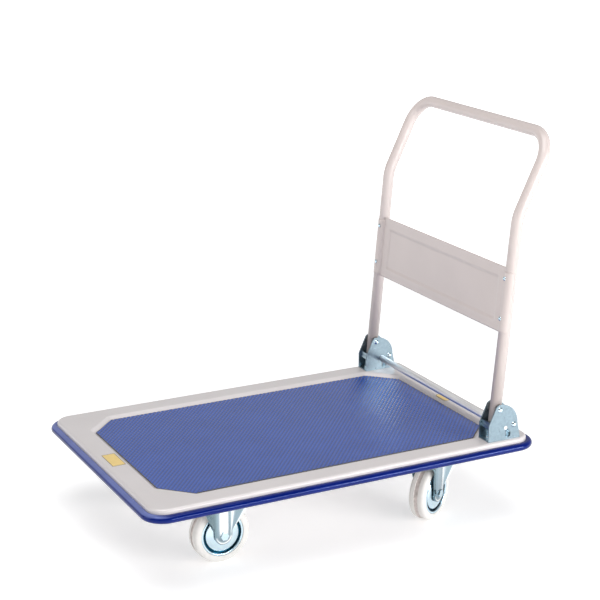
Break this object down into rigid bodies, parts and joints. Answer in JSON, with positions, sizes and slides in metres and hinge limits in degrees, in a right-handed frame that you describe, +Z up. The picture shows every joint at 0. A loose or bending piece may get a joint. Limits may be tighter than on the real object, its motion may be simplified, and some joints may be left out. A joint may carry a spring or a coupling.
{
  "type": "flatbed platform truck",
  "caption": "Platform truck with a pressed steel deck, recessed ribbed mat, wrap-round bumper, folding push handle with a foot-released lock bar, and fixed and swivel casters.",
  "frame": {"origin": "on the floor under the middle of the outer box", "axes": "+X along the deck towards the handle, +Y to the right of a person who pushes, +Z up"},
  "size_m": [0.9471, 0.61, 0.8591],
  "materials": {
    "deck_paint": "gloss",
    "handle_paint": "gloss",
    "mat_pvc": "ribbed satin",
    "bumper_pvc": "gloss",
    "tyre_rubber": "satin",
    "zinc": "zinc plated",
    "steel": "bright",
    "nylon": "satin"
  },
  "bodies": {
    "platform": {"deck_pan": "deck_paint", "deck_mat": "mat_pvc", "edge_bumper": "bumper_pvc", "front_cross_channel": "deck_paint", "rear_cross_channel": "deck_paint", "centre_channel": "deck_paint", "hinge_bracket_left": "zinc", "hinge_bracket_right": "zinc", "stop_bar_left": "zinc", "stop_bar_right": "zinc", "pivot_rivet_left": "zinc", "pivot_rivet_right": "zinc", "rear_rivets": "zinc", "bracket_bolts": "zinc", "bracket_nuts": "zinc", "return_spring_left": "zinc", "return_spring_right": "zinc", "fixed_fork_left": "zinc", "fixed_fork_right": "zinc", "fixed_axle_bolts": "zinc", "fixed_axle_nuts": "zinc", "fixed_axle_sleeves": "steel", "swivel_plate_left": "zinc", "swivel_plate_right": "zinc", "kingpin_left": "steel", "kingpin_right": "steel", "swivel_balls_left": "steel", "swivel_balls_right": "steel", "caster_bolts": "zinc", "caster_nuts": "zinc"},
    "handle": {"handle_tube": "handle_paint", "handle_panel": "handle_paint", "panel_rivets": "zinc", "foot_plugs": "nylon", "pivot_washers": "nylon"},
    "pedal": {"pedal_tube": "zinc", "pedal_pins": "zinc"},
    "swivel_left": {"swivel_fork_left": "zinc", "swivel_axle_bolt_left": "zinc", "swivel_axle_nut_left": "zinc", "swivel_axle_sleeve_left": "steel"},
    "front_wheel_left": {"front_tyre_left": "tyre_rubber", "front_rim_left": "zinc", "front_bearings_left": "steel"},
    "rear_wheel_left": {"rear_tyre_left": "tyre_rubber", "rear_rim_left": "zinc", "rear_bearings_left": "steel"},
    "swivel_right": {"swivel_fork_right": "zinc", "swivel_axle_bolt_right": "zinc", "swivel_axle_nut_right": "zinc", "swivel_axle_sleeve_right": "steel"},
    "front_wheel_right": {"front_tyre_right": "tyre_rubber", "front_rim_right": "zinc", "front_bearings_right": "steel"},
    "rear_wheel_right": {"rear_tyre_right": "tyre_rubber", "rear_rim_right": "zinc", "rear_bearings_right": "steel"}
  },
  "joints": [
    {"name": "handle_fold", "type": "hinge", "parent": "platform", "child": "handle", "pos_m": [0.34244, 0, 0.2675], "axis": [0, -1, 0], "range_deg": [0, 102.5]},
    {"name": "pedal_press", "type": "slide", "parent": "platform", "child": "pedal", "axis": [0.3746, 0, -0.9272], "range_m": [0, 0.016], "stiffness_N_per_m": 2000, "springref_m": -0.005, "deforming": ["return_spring_left", "return_spring_right"]},
    {"name": "front_wheel_spin_left", "type": "hinge", "parent": "platform", "child": "front_wheel_left", "pos_m": [-0.26056, -0.155, 0.0625], "axis": [0, 1, 0], "continuous": true},
    {"name": "swivel_turn_left", "type": "hinge", "parent": "platform", "child": "swivel_left", "pos_m": [0.26944, -0.155, 0.1396], "axis": [0, 0, 1], "continuous": true},
    {"name": "rear_wheel_spin_left", "type": "hinge", "parent": "swivel_left", "child": "rear_wheel_left", "pos_m": [0.23653, -0.174, 0.0625], "axis": [-0.5, 0.866, 0], "continuous": true},
    {"name": "front_wheel_spin_right", "type": "hinge", "parent": "platform", "child": "front_wheel_right", "pos_m": [-0.26056, 0.155, 0.0625], "axis": [0, 1, 0], "continuous": true},
    {"name": "swivel_turn_right", "type": "hinge", "parent": "platform", "child": "swivel_right", "pos_m": [0.26944, 0.155, 0.1396], "axis": [0, 0, 1], "continuous": true},
    {"name": "rear_wheel_spin_right", "type": "hinge", "parent": "swivel_right", "child": "rear_wheel_right", "pos_m": [0.23421, 0.14077, 0.0625], "axis": [-0.3746, 0.9272, 0], "continuous": true}
  ]
}
